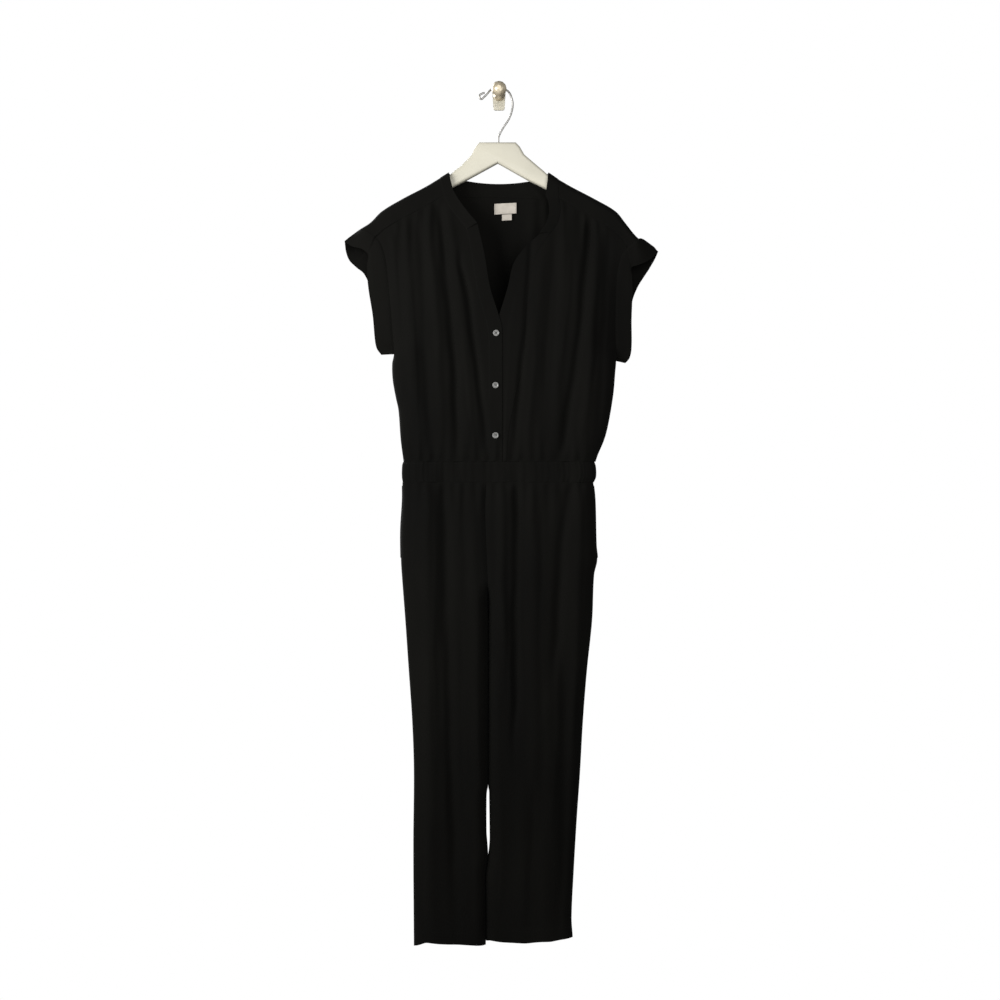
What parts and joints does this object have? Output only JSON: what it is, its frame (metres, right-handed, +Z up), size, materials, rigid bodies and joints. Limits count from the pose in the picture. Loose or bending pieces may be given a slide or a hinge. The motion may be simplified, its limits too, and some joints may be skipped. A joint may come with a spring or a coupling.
{
  "type": "jumpsuit on a hanger and wall hook",
  "caption": "Short-sleeved jumpsuit with a split neck, button placket, elastic waist and tapered legs, hung on a wooden hanger from a knob-shaped wall hook.",
  "frame": {"origin": "on the wall behind the top of the hanger's wire, where it hangs over the stem of the wall hook's knob", "axes": "+Z up, -Y out of the wall towards the viewer, +X to the viewer's right"},
  "size_m": [0.5478, 0.0699, 1.5093],
  "materials": {
    "black_crepe": "matt crepe with a soft drape",
    "pearl_button": "pearly, slightly translucent",
    "woven_label": "satin-woven tape",
    "white_painted_wood": "off-white satin paint",
    "chrome_wire": "polished",
    "hook_plate": "translucent cream",
    "faceted_knob": "champagne, glossy"
  },
  "bodies": {
    "root": {"front_left": "black_crepe", "front_right": "black_crepe", "back": "black_crepe", "yoke_left": "black_crepe", "yoke_right": "black_crepe", "cuff_left": "black_crepe", "cuff_right": "black_crepe", "collar_band": "black_crepe", "placket_over": "black_crepe", "placket_under": "black_crepe", "waist_casing_front": "black_crepe", "waist_casing_back": "black_crepe", "leg_front_left": "black_crepe", "leg_front_right": "black_crepe", "leg_back_left": "black_crepe", "leg_back_right": "black_crepe", "pocket_left": "black_crepe", "pocket_right": "black_crepe", "button_top": "pearl_button", "button_middle": "pearl_button", "button_bottom": "pearl_button", "label_main": "woven_label", "label_small": "woven_label", "hanger_body": "white_painted_wood", "hanger_hook": "chrome_wire", "wall_plate": "hook_plate", "wall_knob": "faceted_knob"}
  },
  "joints": []
}
